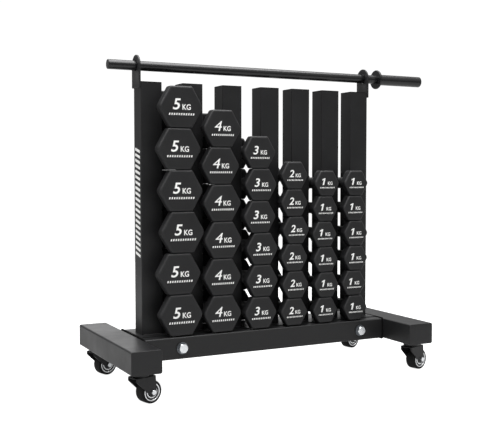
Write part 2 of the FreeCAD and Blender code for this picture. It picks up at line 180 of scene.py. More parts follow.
def rounded_outline(corners: Sequence[Sequence[float]], radii: Sequence[float],
                    steps: int = 6, between: int = 3) -> Outline:
    """Polygon with an arc at each corner, counterclockwise, hollow corners allowed.

    An arc starts radius * tan(turn / 2) before its corner. Its centre lies one radius to
    the inner side, or the outer side at a hollow corner, and the outward direction turns
    evenly from one edge's to the next's.

    Args:
        corners: corner points in millimetres.
        radii: each corner's radius.
        steps: spans in each arc.
        between: extra points on each straight edge.

    Returns:
        The outline.
    """
    corner = np.asarray(corners, dtype=float)
    radius = np.asarray(radii, dtype=float)[:, None]
    leaving = np.roll(corner, -1, axis=0) - corner
    leaving /= np.linalg.norm(leaving, axis=1, keepdims=True)
    arriving = np.roll(leaving, 1, axis=0)
    side = np.stack([arriving[:, 1], -arriving[:, 0]], axis=1)
    cross = arriving[:, 0] * leaving[:, 1] - arriving[:, 1] * leaving[:, 0]
    turn = np.arctan2(cross, np.einsum("ij,ij->i", arriving, leaving))[:, None]
    sign = np.sign(turn)
    centre = corner - arriving * radius * np.tan(np.abs(turn) / 2) - side * radius * sign
    angle = np.arctan2(side[:, 1], side[:, 0])[:, None] + turn * np.linspace(0, 1, steps + 1)
    outward = np.stack([np.cos(angle), np.sin(angle)], axis=-1)
    arcs = centre[:, None] + (sign * radius)[:, None] * outward
    share = (np.arange(1, between + 1) / (between + 1))[None, :, None]
    ends, starts = arcs[:, -1:], np.roll(arcs[:, :1], -1, axis=0)
    edges = ends + (starts - ends) * share
    straight = np.repeat(outward[:, -1:], between, axis=1)
    return Outline(np.concatenate([arcs, edges], axis=1).reshape(-1, 2),
                   np.concatenate([outward, straight], axis=1).reshape(-1, 2))


def rectangle(width: float, height: float, radius: float) -> Outline:
    """Rounded rectangle about the origin, in millimetres."""
    x, y = width / 2, height / 2
    return rounded_outline([(-x, -y), (x, -y), (x, y), (-x, y)], [radius] * 4)


def rim_profile(radius: float, steps: int = 5) -> tuple[np.ndarray, np.ndarray]:
    """Quarter round from a face to the side beside it.

    The inset is radius * (1 - sin a) and the depth radius * (1 - cos a), a from 0 to 90 degrees.

    Args:
        radius: radius of the edge in millimetres.
        steps: spans in the quarter.

    Returns:
        Insets from the outline, and depths below the face.
    """
    angle = np.linspace(0, math.pi / 2, steps + 1)
    return radius * (1 - np.sin(angle)), radius * (1 - np.cos(angle))


def stacked(flat_rings: Sequence[np.ndarray], heights: Sequence[float]) -> np.ndarray:
    """Flat rings in millimetres, raised to their heights and given in metres.

    Args:
        flat_rings: (n, 2) arrays, all with the same number of points.
        heights: each ring's height.

    Returns:
        Rings shaped (rings, points around, 3).
    """
    rings = np.stack(flat_rings)
    level = np.broadcast_to(np.asarray(heights, dtype=float)[:, None, None],
                            rings.shape[:2] + (1,))
    return np.concatenate([rings, level], axis=2) * MM


def slab(outline: Outline, thickness: float, rim: float) -> Surface:
    """Flat plate with its lower face at height 0 and a rounded rim round its upper face.

    Args:
        outline: its outline.
        thickness: in millimetres.
        rim: radius of the upper edge, in millimetres.

    Returns:
        The closed plate, its rim marked for the edge colour: partly wear, partly a painted highlight.
    """
    insets, depths = rim_profile(rim)
    face = outline.inset(rim)
    rings = [outline.points * 0.5, outline.points]
    rings += [outline.inset(inset) for inset in insets[::-1]] + [face * 0.5]
    heights = [0.0, 0.0] + list(thickness - depths[::-1]) + [thickness]
    wear_and_highlight = np.zeros(len(rings))
    wear_and_highlight[3:-2] = 1.0
    return loft(stacked(rings, heights), wear_and_highlight)


def turned(section: Outline, axis: Sequence[float], centre: Sequence[float],
           around: int = 64) -> Surface:
    """Solid of revolution: the section's (radius, height) points carried round an axis.

    A point is centre + height * axis + radius * (cos a * u + sin a * v), with u and v at
    right angles to the axis.

    Args:
        section: closed outline of (radius, height) points in millimetres.
        axis: direction of the axis.
        centre: point on the axis where the height is 0, in metres.
        around: points round the axis.

    Returns:
        The closed ring.
    """
    along = np.asarray(axis, dtype=float) / np.linalg.norm(axis)
    side = np.cross(along, [0.0, 0.0, 1.0])
    side /= np.linalg.norm(side)
    upward = np.cross(side, along)
    angle = np.linspace(0, 2 * math.pi, around, endpoint=False)[None, :, None]
    radius, height = section.points[:, 0, None, None] * MM, section.points[:, 1, None, None] * MM
    rings = (np.asarray(centre) + height * along
             + radius * (np.cos(angle) * side + np.sin(angle) * upward))
    return loft(rings, looped=True)


def bead(start: Sequence[float], end: Sequence[float], radius: float = 1.6,
         ripple: float = 2.6) -> Surface:
    """Weld bead: a round section along a straight path, swollen once for each ripple.

    Its radius is radius * (0.88 + 0.12 * cos(2 pi * distance / ripple)), and closes at
    both ends as the root of a circle does.

    Args:
        start: one end in metres.
        end: the other end in metres.
        radius: largest radius in millimetres.
        ripple: length of one ripple in millimetres.

    Returns:
        The closed bead.
    """
    first, last = np.asarray(start, dtype=float), np.asarray(end, dtype=float)
    length = float(np.linalg.norm(last - first)) / MM
    along = (last - first) / np.linalg.norm(last - first)
    side = np.cross(along, [0.3, 0.5, 0.8])
    side /= np.linalg.norm(side)
    across = np.cross(along, side)
    distance = np.linspace(0.02 * radius, length - 0.02 * radius, int(length / ripple * 5))
    nearest = np.minimum(distance, length - distance) / radius
    closing = np.sqrt(np.clip(1 - np.clip(1 - nearest, 0, 1) ** 2, 0, 1))
    swell = radius * closing * (0.88 + 0.12 * np.cos(2 * math.pi * distance / ripple))
    angle = np.linspace(0, 2 * math.pi, 10, endpoint=False)[None, :, None]
    rings = (first + distance[:, None, None] * MM * along
             + swell[:, None, None] * MM * (np.cos(angle) * side + np.sin(angle) * across))
    return loft(rings)


def points_of(node: bpy.types.Object) -> np.ndarray:
    """Reads a node's points.

    Args:
        node: the CAD node.

    Returns:
        Its points in metres, shaped (n, 3).
    """
    points = np.zeros(len(node.data.vertices) * 3)
    node.data.vertices.foreach_get("co", points)
    return points.reshape(-1, 3)


def level_centres(node: bpy.types.Object, levels: int) -> np.ndarray:
    """Centres of equal solids stacked in one node.

    A point's level is its height over the stack's height, times the number of levels,
    rounded down. A centre is halfway between its level's lowest and highest coordinates.

    Args:
        node: the CAD node.
        levels: how many solids are in it.

    Returns:
        Centres shaped (levels, 3), lowest first.
    """
    points = points_of(node)
    low, high = points[:, 2].min(), points[:, 2].max()
    level = ((points[:, 2] - low) / (high - low) * levels).astype(int).clip(0, levels - 1)
    lowest, highest = np.full((levels, 3), np.inf), np.full((levels, 3), -np.inf)
    np.minimum.at(lowest, level, points)
    np.maximum.at(highest, level, points)
    return (lowest + highest) / 2


# Finishes -----------------------------------------------------------------------------

class Grain(Enum):
    """How a surface's fine relief is laid."""

    PEEL = "soft hills, as sprayed or powder coated paint flows"
    PEBBLE = "round cells, as rubber takes from a blasted mould"
    STREAK = "long lines, as rolled, drawn or turned metal has"


def linear(code: str) -> tuple[float, float, float, float]:
    """Turns an sRGB hex colour into linear light.

    Args:
        code: the colour as six hex digits after a hash sign.

    Returns:
        Linear red, green, blue, and an alpha of 1.
    """
    value = np.array([int(code[k:k + 2], 16) for k in (1, 3, 5)]) / 255
    light = np.where(value <= 0.04045, value / 12.92, ((value + 0.055) / 1.055) ** 2.4)
    return (float(light[0]), float(light[1]), float(light[2]), 1.0)


def add_node(tree: bpy.types.NodeTree, kind: str,
             links: Mapping[Any, bpy.types.NodeSocket] | None = None,
             inputs: Mapping[Any, Any] | None = None, **settings: Any) -> bpy.types.Node:
    """Adds one node to a tree.

    Args:
        tree: the node tree.
        kind: the node's type.
        links: input name or number to the socket that feeds it.
        inputs: input name or number to its value.
        settings: the node's own properties.

    Returns:
        The node.
    """
    node = tree.nodes.new(kind)
    for name, value in settings.items():
        setattr(node, name, value)
    for name, value in (inputs or {}).items():
        node.inputs[name].default_value = value
    for name, socket in (links or {}).items():
        tree.links.new(socket, node.inputs[name])
    return node


@dataclass(frozen=True)
class Finish:
    """One real finish, as colour, gloss and relief in real sizes, and an edge colour on marked rims
    that is partly wear and partly a painted highlight.
    """

    name: str
    colour: str
    mottle: str
    # Colour on the marked rims: partly wear, partly a painted highlight line.
    edge: str
    roughness: float
    spread: float
    grain: Grain
    grain_mm: float
    relief_mm: float
    metallic: float = 0.0
    specular: float = 0.5
    mottle_mm: float = 70.0
    streak: tuple[float, float, float] = (1.0, 1.0, 1.0)

    def material(self) -> bpy.types.Material:
        """Builds the material, or finds it if it is already built.

        Returns:
            The material.
        """
        made = bpy.data.materials.get(self.name)
        if made is not None:
            return made
        made = bpy.data.materials.new(self.name)
        made.use_nodes = True
        tree = made.node_tree
        tree.nodes.clear()
        place = add_node(tree, "ShaderNodeTexCoord").outputs["Object"]
        slow = add_node(tree, "ShaderNodeTexNoise", {"Vector": place},
                        {"Scale": 1 / (self.mottle_mm * MM), "Detail": 3.0, "Roughness": 0.6})
        body = add_node(tree, "ShaderNodeMix", {"Factor": slow.outputs["Fac"]},
                        {6: linear(self.colour), 7: linear(self.mottle)}, data_type="RGBA")
        # Lays the edge colour on the marked rims, patchy by the slow noise: partly wear, partly a
        # painted highlight.
        rim_wear_and_highlight = add_node(tree, "ShaderNodeAttribute", attribute_name="wear_and_highlight")
        part = add_node(tree, "ShaderNodeMath", {0: rim_wear_and_highlight.outputs["Fac"], 1: slow.outputs["Fac"]},
                        operation="MULTIPLY")
        shade = add_node(tree, "ShaderNodeMix",
                         {"Factor": part.outputs[0], 6: body.outputs[2]},
                         {7: linear(self.edge)}, data_type="RGBA")
        gloss = add_node(tree, "ShaderNodeMapRange", {"Value": slow.outputs["Fac"]},
                         {"From Min": 0.3, "From Max": 0.7,
                          "To Min": self.roughness - self.spread,
                          "To Max": self.roughness + self.spread})
        shader = add_node(
            tree, "ShaderNodeBsdfPrincipled",
            {"Base Color": shade.outputs[2], "Roughness": gloss.outputs[0],
             "Normal": self.relief(tree, place)},
            {"Metallic": self.metallic, "Specular IOR Level": self.specular})
        add_node(tree, "ShaderNodeOutputMaterial", {"Surface": shader.outputs[0]})
        return made

    def relief(self, tree: bpy.types.NodeTree,
               place: bpy.types.NodeSocket) -> bpy.types.NodeSocket:
        """Adds the fine relief to a material.

        Args:
            tree: the material's node tree.
            place: the coordinates that it follows, in metres.

        Returns:
            The bent normal.
        """
        spots = add_node(tree, "ShaderNodeMapping", {"Vector": place}, {"Scale": self.streak})
        size = {"Scale": 1 / (self.grain_mm * MM)}
        if self.grain is Grain.PEBBLE:
            height = add_node(tree, "ShaderNodeTexVoronoi", {"Vector": spots.outputs[0]}, size,
                              feature="SMOOTH_F1").outputs["Distance"]
        else:
            size["Detail"] = 2.0 if self.grain is Grain.PEEL else 4.0
            height = add_node(tree, "ShaderNodeTexNoise", {"Vector": spots.outputs[0]},
                              size).outputs["Fac"]
        bump = add_node(tree, "ShaderNodeBump", {"Height": height},
                        {"Strength": 1.0, "Distance": self.relief_mm * MM})
        return bump.outputs[0]


# Steel tube, blasted and powder coated satin black: an even black with a fine orange peel
# that breaks up the reflections. The peel is really 1 mm, drawn at 2.5 mm so that it shows.
POWDER_COAT = Finish("powder_coated_steel", "#161617", "#1b1b1c", "#2c2c2d", 0.42, 0.05,
                     Grain.PEEL, 2.5, 0.05, specular=0.36)
# Cast iron dipped in soft black coating: deep matt black, a fine pebble, paler on the rims,
# partly as handling wear and partly as a painted highlight. The pebble is really 0.6 mm, drawn at 1.6
# mm.
DIPPED_IRON = Finish("dip_coated_cast_iron", "#171718", "#1d1d1e", "#242425", 0.52, 0.06,
                     Grain.PEBBLE, 1.6, 0.06, specular=0.34)
# Screen-printed white ink: flat and slightly uneven in cover.
SCREEN_INK = Finish("screen_printed_ink", "#f4f4f2", "#e6e6e4", "#ffffff", 0.55, 0.05,
                    Grain.PEEL, 1.2, 0.02, mottle_mm=12.0)
# Drawn steel bar in brushed-on enamel: smoother than the frame, so it holds a long highlight,
# with faint lines along the bar.
BAR_ENAMEL = Finish("enamelled_drawn_steel", "#111112", "#171718", "#343435", 0.24, 0.04,
                    Grain.STREAK, 1.5, 0.02, specular=0.5, streak=(0.04, 1.0, 1.0))
# Bright zinc plate over forged steel: a cool, nearly white metal, slightly cloudy.
ZINC_PLATE = Finish("bright_zinc_plate", "#f2f4f6", "#e6e9ec", "#fafbfc", 0.26, 0.06,
                    Grain.PEEL, 1.4, 0.02, metallic=1.0, mottle_mm=9.0)
# The washers are pressed, not turned: the same plate, a little duller, and coloured darker and greyer
# as painted shade for the shadow that the bolt heads cast on them.
SHADED_ZINC_PLATE = Finish("zinc_plate_painted_shade", "#6c6f73", "#5c5f63", "#9da0a4", 0.3, 0.06,
                   Grain.PEEL, 1.4, 0.03, metallic=1.0, mottle_mm=9.0)
# Injection moulded nylon caps and collars: a dead black line beside the paint. On the beam's end
# collars and the back foot caps this black is partly painted shade, for the shadow gap there.
MOULDED_NYLON = Finish("moulded_nylon", "#060606", "#0a0a0b", "#161617", 0.72, 0.05,
                       Grain.PEBBLE, 1.0, 0.03, specular=0.14)
# The front foot caps are the same nylon from a polished mould: satin, as pale as the paint. They are
# the lit copy of the nylon, and the near-black back caps are its shaded copy.
SATIN_NYLON = Finish("satin_moulded_nylon", "#19191a", "#1e1e1f", "#2a2a2b", 0.46, 0.05,
                     Grain.PEBBLE, 1.0, 0.02, specular=0.36)
# Pressed steel with black electro-coat: thin and smooth, half gloss.
ELECTRO_COAT = Finish("electro_coated_pressed_steel", "#151516", "#1b1b1c", "#2c2c2d", 0.4, 0.06,
                      Grain.PEEL, 1.8, 0.03, specular=0.36, mottle_mm=25.0)
# Moulded rubber tread: dull black with a dusty bloom.
TREAD_RUBBER = Finish("moulded_tread_rubber", "#0b0b0b", "#151515", "#242424", 0.68, 0.08,
                      Grain.PEBBLE, 1.0, 0.04, specular=0.2, mottle_mm=18.0)
# Chromed pressed ring: mirror-like, faintly wavy.
CHROME_RING = Finish("chromed_pressed_ring", "#f0f1f2", "#e2e4e6", "#ffffff", 0.14, 0.04,
                     Grain.PEEL, 2.0, 0.01, metallic=1.0, mottle_mm=8.0)


def dress(name: str, finish: Finish) -> None:
    """Gives a CAD node its finish, in every material slot."""
    for place in NODES[name].material_slots:
        place.material = finish.material()


def add_piece(name: str, body: str, surface: Surface, finish: Finish,
              stands_for: Sequence[str] = (), sharp_degrees: float = 40.0) -> bpy.types.Object:
    """Makes a mesh object that rides on a body.

    Args:
        name: the piece's name.
        body: the body that it moves with.
        surface: its shape, in the row's frame.
        finish: its finish.
        stands_for: the CAD nodes that it replaces.
        sharp_degrees: edges that turn more than this are drawn sharp.

    Returns:
        The object.
    """
    mesh = bpy.data.meshes.new(name)
    mesh.from_pydata(surface.points.tolist(), [],
                     surface.quads.tolist() + surface.triangles.tolist())
    # Each point's value for the edge colour: partly wear, partly a painted highlight.
    mesh.attributes.new("wear_and_highlight", "FLOAT", "POINT").data.foreach_set("value", surface.wear_and_highlight)
    mesh.shade_smooth()
    mesh.set_sharp_from_angle(angle=math.radians(sharp_degrees))
    mesh.materials.append(finish.material())
    mesh.update()
    piece = bpy.data.objects.new(name, mesh)
    bpy.context.scene.collection.objects.link(piece)
    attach(piece, body)
    if stands_for:
        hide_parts(*stands_for)
    LOG.info("%s: %d faces on %s", name, len(mesh.polygons), body)
    return piece


# Dumbbells ----------------------------------------------------------------------------

@dataclass(frozen=True)
class HexDumbbell:
    """One dumbbell about its own middle, its length along Y. Sizes are in millimetres."""

    flats: float
    length: float
    grip: float
    head: float = 24.0
    rim: float = 4.5
    side_rounding: float = 0.15
    corner: float = 6.0
    waist: float = 3.0
    collar: float = 3.0
    groove_pitch: float = 5.0
    groove_depth: float = 0.5
    grooved_half: float = 35.0

    def outline(self) -> Outline:
        """Hexagon with flats above and below, and softer corners at its sides.

        Returns:
            The outline in X and Z.
        """
        angle = np.radians(np.arange(6) * 60.0)
        reach = self.flats / math.sqrt(3)
        corners = np.stack([np.cos(angle), np.sin(angle)], axis=1) * reach
        radii = np.full(6, self.corner)
        radii[[0, 3]] = self.flats * self.side_rounding
        return rounded_outline(corners, radii, steps=6, between=4)

    def handle_radius(self, along: np.ndarray) -> np.ndarray:
        """Radius of the grip: a shallow barrel with ring grooves along its middle.

        radius = grip - waist * (y / half)^2 - depth * (1 - cos(2 pi y / pitch)) / 2, and the
        grooves stop at grooved_half, a whole number of pitches from the middle.

        Args:
            along: distances from the middle.

        Returns:
            The radius at each.
        """
        half = self.length / 2 - self.head
        barrel = self.grip - self.waist * (along / half) ** 2
        wave = (1 - np.cos(2 * math.pi * along / self.groove_pitch)) / 2
        return barrel - self.groove_depth * wave * (np.abs(along) < self.grooved_half)

    def surface(self) -> Surface:
        """Skins rings from the front face, over the rim and the head, along the handle, and back.

        Returns:
            The closed dumbbell about the origin, its head rims marked for wear and a painted
            highlight.
        """
        outline = self.outline()
        front, inner = -self.length / 2, self.head - self.length / 2
        insets, depths = rim_profile(self.rim)
        face = outline.inset(self.rim)
        rings = [face * share for share in (0.3, 0.65, 0.97)]
        along = [front] * 3
        rim_wear_and_highlight = [0.0] * 3
        rings += [outline.inset(inset) for inset in insets]
        along += list(front + depths)
        # Rim values for the edge colour, strongest on the front rim: partly wear, partly a painted
        # highlight.
        rim_wear_and_highlight += [0.6, 1.0, 1.0, 0.8, 0.3, 0.0]
        rings += [outline.inset(inset) for inset in insets[::-1]]
        along += list(inner - depths[::-1])
        rim_wear_and_highlight += [0.0, 0.2, 0.5, 0.5, 0.3, 0.0]
        root = float(self.handle_radius(np.array(inner + self.collar)))
        flare = outline.circled(root + self.collar)
        rings += [face * (1 - share) + flare * share for share in (0.5, 1.0)]
        along += [inner] * 2
        rings += [outline.circled(root + inset) for inset in
                  rim_profile(self.collar, 4)[0][1:]]
        along += list(inner + rim_profile(self.collar, 4)[1][1:])
        grip = np.arange(inner + self.collar + 1, -0.01, self.groove_pitch / 4)
        rings += [outline.circled(radius) for radius in self.handle_radius(grip)]
        along += list(grip)
        rim_wear_and_highlight += [0.0] * (len(rings) - len(rim_wear_and_highlight))
        half = stacked(rings, along)
        mirrored = half[::-1] * np.array([1.0, 1.0, -1.0])
        wear_and_highlight = np.array(rim_wear_and_highlight + rim_wear_and_highlight[::-1])
        # (x, z, y) rings to (x, y, z): half a turn about the diagonal keeps the hand.
        standing = np.array([[1.0, 0.0, 0.0], [0.0, 0.0, 1.0], [0.0, 1.0, 0.0]])
        rings_round = np.concatenate([half, mirrored]) @ standing.T
        return loft(rings_round, wear_and_highlight)


@dataclass(frozen=True)
class WeightMark:
    """Printed weight on a head: a leaning number, small letters and a row of plain dashes.

    Heights and places are shares of the head's size across its flats.
    """

    number: str
    flats: float
    number_width: float
    number_left: float
    number_weight: float
    number_height: float = 0.267
    letters_height: float = 0.135
    letters_left: float = 0.02
    letters_width: float = 0.215
    baseline: float = -0.07
    dashes_low: float = -0.2
    dashes_height: float = 0.05
    dashes_width: float = 0.68
    dashes_across: int = 11
    dashes_filled: float = 0.5
    lean: float = 0.2
    letters_weight: float = 0.018
    ink: float = 0.25
    sunk: float = 0.05

    def glyphs(self, text: str, height: float, slant: float, weight: float) -> Surface:
        """Text as a thin closed mesh, its lower left corner at the origin.

        Args:
            text: the text.
            height: height of its capitals or digits in millimetres.
            slant: how far the letters lean.
            weight: how far the strokes are thickened.

        Returns:
            The letters, facing +Z.
        """
        curve = bpy.data.curves.new("mark", "FONT")
        curve.body, curve.shear, curve.offset = text, slant, weight
        curve.extrude, curve.resolution_u = 0.1, 5
        holder = bpy.data.objects.new("mark", curve)
        bpy.context.scene.collection.objects.link(holder)
        seen = holder.evaluated_get(bpy.context.evaluated_depsgraph_get())
        mesh = bpy.data.meshes.new_from_object(seen)
        welded = bmesh.new()
        welded.from_mesh(mesh)
        bmesh.ops.remove_doubles(welded, verts=welded.verts[:], dist=1e-5)
        bmesh.ops.triangulate(welded, faces=welded.faces[:])
        bmesh.ops.recalc_face_normals(welded, faces=welded.faces[:])
        welded.to_mesh(mesh)
        welded.free()
        points = np.zeros(len(mesh.vertices) * 3)
        mesh.vertices.foreach_get("co", points)
        points = points.reshape(-1, 3)
        corners = np.zeros(len(mesh.loops), dtype=int)
        mesh.loops.foreach_get("vertex_index", corners)
        bpy.data.objects.remove(holder)
        bpy.data.curves.remove(curve)
        bpy.data.meshes.remove(mesh)
        low, high = points.min(axis=0), points.max(axis=0)
        scale = height * MM / (high[1] - low[1])
        points = (points - low) * np.array([scale, scale, self.layer() / (high[2] - low[2])])
        return Surface(points, np.zeros((0, 4), dtype=int), corners.reshape(-1, 3),
                       np.zeros(len(points)))

    def one(self, tall: float) -> Surface:
        """Leaning numeral one with a plain flag, its lower left corner at the origin.

        Its outline is a stem with a flag, each point moved right by its height times the lean.

        Args:
            tall: height of the numeral in millimetres.

        Returns:
            The numeral, facing +Z.
        """
        stem = np.array([(0.2, 0.0), (0.4, 0.0), (0.4, 1.0), (0.25, 1.0), (0.0, 0.84),
                         (0.0, 0.66), (0.2, 0.76)])
        # A point inside that sees every corner, so that the face can close on it.
        middle = np.array([0.3, 0.86])
        stem[:, 0] += self.lean * stem[:, 1]
        middle[0] += self.lean * middle[1]
        outline = rounded_outline((stem - middle) * tall, [0.03 * tall] * len(stem), 3, 2)
        layer = self.layer() / MM
        numeral = slab(outline, layer, layer * 0.2)
        low = numeral.points.min(axis=0)
        return numeral.placed(FACING_UP, -low)

    def layer(self) -> float:
        """Thickness of the ink with its sunk part, in metres."""
        return (self.ink + self.sunk) * MM

    def surface(self) -> Surface:
        """The whole mark about the head's middle, facing +Z.

        Returns:
            Number, letters and dashes.
        """
        size = self.flats * MM
        rise = -self.sunk * MM
        tall = self.number_height * self.flats
        number = (self.one(tall) if self.number == "1"
                  else self.glyphs(self.number, tall, self.lean, self.number_weight))
        letters = self.glyphs("KG", self.letters_height * self.flats, 0.0, self.letters_weight)
        widen = self.number_width * size / np.ptp(number.points[:, 0])
        squeeze = self.letters_width * size / np.ptp(letters.points[:, 0])
        dashes = dash_row(self.dashes_across, self.dashes_width * self.flats,
                          self.dashes_height * self.flats, self.dashes_filled,
                          self.ink + self.sunk)
        dashes_middle = (self.dashes_low + self.dashes_height / 2) * size
        return joined([
            number.placed(np.diag([widen, 1.0, 1.0]),
                          (self.number_left * size, self.baseline * size, rise)),
            letters.placed(np.diag([squeeze, 1.0, 1.0]),
                           (self.letters_left * size, self.baseline * size, rise)),
            dashes.placed(FACING_UP, (0.0, dashes_middle, rise))])


def dash_row(count: int, width: float, height: float, filled: float, layer: float) -> Surface:
    """Row of plain leaning dashes about the origin, facing +Z.

    Args:
        count: how many dashes.
        width: of the whole row, in millimetres.
        height: of each dash.
        filled: share of the row that is dash, not gap.
        layer: thickness of the ink.

    Returns:
        The dashes.
    """
    pitch = width / count
    wide, lean = pitch * filled / 2, height * 0.12
    corners = [(-wide - lean, -height / 2), (wide - lean, -height / 2),
               (wide + lean, height / 2), (-wide + lean, height / 2)]
    dash = slab(rounded_outline(corners, [min(wide, height) * 0.25] * 4, 2, 1), layer, layer * 0.2)
    places = (np.arange(count) - (count - 1) / 2) * pitch * MM
    return joined([dash.placed(FACING_UP, (place, 0.0, 0.0)) for place in places])


@dataclass(frozen=True)
class Column:
    """Six dumbbells of one weight between two uprights."""

    name: str
    number: str
    grip: float
    number_width: float
    number_left: float = -0.242
    number_weight: float = 0.016

    def build(self) -> None:
        """Replaces both CAD nodes of the column with finished dumbbells and their marks."""
        top, lower = f"dumbbell_{self.name}_top", f"dumbbells_{self.name}_lower"
        low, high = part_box(top)
        flats, length = (high[2] - low[2]) / MM, (high[1] - low[1]) / MM
        model = HexDumbbell(flats, length, self.grip).surface()
        mark = WeightMark(self.number, flats, self.number_width, self.number_left,
                          self.number_weight).surface()
        reach = length / 2 * MM
        both = joined([mark.placed(FACING_FRONT, (0.0, -reach, 0.0)),
                       mark.placed(FACING_BACK, (0.0, reach, 0.0))])
        for node, body, levels in ((lower, f"stack_{self.name}", 5), (top, f"top_{self.name}", 1)):
            centres = level_centres(NODES[node], levels)
            add_piece(f"{node}_finished", body,
                      joined([model.placed(FACING_UP, centre) for centre in centres]),
                      DIPPED_IRON, [node])
            add_piece(f"{node}_marks", body,
                      joined([both.placed(FACING_UP, centre) for centre in centres]),
                      SCREEN_INK)


# Frame and bar ------------------------------------------------------------------------

@dataclass(frozen=True)
class EndCaps:
    """Moulded caps on the feet and the uprights. Sizes are in millimetres."""

    foot_corner: float = 4.0
    upright_corner: float = 2.0
    rim: float = 0.8

    def build(self) -> None:
        """Replaces the CAD caps with caps that have a softened rim."""
        fronts, backs = [], []
        low_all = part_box("foot_end_caps")[0]
        for side in ("left", "right"):
            low, high = (np.array(corner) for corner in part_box(f"foot_tube_{side}"))
            middle = (low + high) / 2
            outline = rectangle((high[0] - low[0]) / MM, (high[2] - low[2]) / MM, self.foot_corner)
            thickness = (low[1] - low_all[1]) / MM
            cap = slab(outline, thickness, self.rim)
            fronts.append(cap.placed(FACING_FRONT, (middle[0], low[1], middle[2])))
            backs.append(cap.placed(FACING_BACK, (middle[0], high[1], middle[2])))
        add_piece("foot_front_caps_finished", "frame", joined(fronts), SATIN_NYLON,
                  ["foot_end_caps"])
        # The back caps take the near-black nylon: partly the caps' own black, partly painted shade for
        # the dark line at the back of each foot.
        add_piece("foot_back_caps_finished", "frame", joined(backs), MOULDED_NYLON)
        caps = []
        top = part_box("upright_caps")[1][2]
        for number in range(1, 8):
            low, high = (np.array(corner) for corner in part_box(f"upright_{number}"))
            middle = (low + high) / 2
            outline = rectangle((high[0] - low[0]) / MM, (high[1] - low[1]) / MM,
                                self.upright_corner)
            cap = slab(outline, (top - high[2]) / MM, self.rim)
            caps.append(cap.placed(FACING_UP, (middle[0], middle[1], high[2])))
        add_piece("upright_caps_finished", "frame", joined(caps), MOULDED_NYLON,
                  ["upright_caps"])


@dataclass(frozen=True)
class BarBracket:
    """Flat strap with a round eye, its edges broken. Sizes are in millimetres."""

    side: str
    bore: float = 11.5
    rim: float = 0.7
    lower_corner: float = 1.5
    weld_inset: float = 3.0

    def surface(self) -> Surface:
        """Rings from the eye across one face, round the rim, back across the other, to the eye.

        Returns:
            The bracket about the middle of its eye, its thickness along Z.
        """
        low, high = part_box(f"bar_bracket_{self.side}")
        half = (high[1] - low[1]) / 2 / MM
        drop = (high[2] - low[2]) / MM - half
        thick = (high[0] - low[0]) / 2 / MM
        # A hair under half the width, so that the two arcs of the eye do not quite meet.
        eye = half - 0.1
        outline = rounded_outline([(-half, -drop), (half, -drop), (half, half), (-half, half)],
                                  [self.lower_corner, self.lower_corner, eye, eye], 14, 8)
        insets, depths = rim_profile(self.rim, 3)
        opening = outline.circled(self.bore + self.rim)
        rings = [opening] + [outline.inset(inset) for inset in insets]
        heights = [thick] + list(thick - depths)
        rings += [outline.inset(inset) for inset in insets[::-1]] + [opening]
        heights += list(depths[::-1] - thick) + [-thick]
        rings += [outline.circled(self.bore)] * 2
        heights += [self.rim - thick, thick - self.rim]
        # Rim values for the paint's edge colour: partly wear, partly a painted highlight on the broken
        # edges.
        wear_and_highlight = np.array([0.2, 1.0, 1.0, 0.6, 0.0, 0.0, 0.6, 1.0, 1.0, 0.2, 0.8, 0.8])
        return loft(stacked(rings, heights), wear_and_highlight, looped=True)

    def build(self) -> None:
        """Replaces the CAD bracket, and adds its weld to the upright."""
        low, high = (np.array(corner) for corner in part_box(f"bar_bracket_{self.side}"))
        axis_height = high[2] - (high[1] - low[1]) / 2
        middle = ((low[0] + high[0]) / 2, 0.0, axis_height)
        add_piece(f"bar_bracket_{self.side}_finished", "frame",
                  self.surface().placed(FACING_RIGHT, middle), POWDER_COAT,
                  [f"bar_bracket_{self.side}"], 50.0)
        # The strap lies flat on the outer upright, and the weld runs along its lower edge.
        inner = high[0] if self.side == "left" else low[0]
        inset = self.weld_inset * MM
        add_piece(f"bar_bracket_{self.side}_weld", "frame",
                  bead((inner, low[1] + inset, low[2]), (inner, high[1] - inset, low[2])),
                  POWDER_COAT)


def build_frame() -> None:
    """Dresses the nodes of the frame and the bar, and adds the welds at the uprights' feet."""
    for name in (["foot_tube_left", "foot_tube_right", "foot_spigot_left", "foot_spigot_right",
                  "cross_beam", "upright_base_plate"]
                 + [f"upright_{number}" for number in range(1, 8)]):
        dress(name, POWDER_COAT)
    for name in ("bar_shaft", "bar_flange", "bar_sleeve", "bar_sleeve_cap"):
        dress(name, BAR_ENAMEL)
    for name in ("frame_bolts", "frame_nuts", "caster_stem_nuts"):
        dress(name, ZINC_PLATE)
    dress("frame_washers", SHADED_ZINC_PLATE)
    dress("caster_stems", ELECTRO_COAT)
    # The beam's end collars in near-black nylon: their black is painted shade for the shadow gap where
    # the beam meets the feet.
    dress("beam_end_collars", MOULDED_NYLON)
    welds = []
    inset = 3 * MM
    for number in range(1, 8):
        low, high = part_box(f"upright_{number}")
        for y in (low[1], high[1]):
            welds.append(bead((low[0] + inset, y, low[2]), (high[0] - inset, y, low[2])))
    add_piece("upright_foot_welds", "frame", joined(welds), POWDER_COAT)


@dataclass(frozen=True)
class SideStrokes:
    """Row of plain leaning strokes up the first upright's left face. Sizes are in millimetres."""

    count: int = 20
    row: float = 246.0
    stroke: float = 30.0
    filled: float = 0.5
    ink: float = 0.25
    height_share: float = 0.526

    def build(self) -> None:
        """Adds the strokes, their row's middle at a share of the upright's height."""
        low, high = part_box("upright_1")
        row = dash_row(self.count, self.row, self.stroke, self.filled, self.ink)
        # The row is drawn along X: a quarter turn stands it up before it is laid on the face.
        quarter = np.array([[0.0, -1.0, 0.0], [1.0, 0.0, 0.0], [0.0, 0.0, 1.0]])
        middle = (low[0], (low[1] + high[1]) / 2,
                  low[2] + (high[2] - low[2]) * self.height_share)
        add_piece("upright_1_strokes", "frame",
                  row.placed(quarter, (0.0, 0.0, 0.0)).placed(FACING_LEFT, middle), SCREEN_INK)


# Casters ------------------------------------------------------------------------------

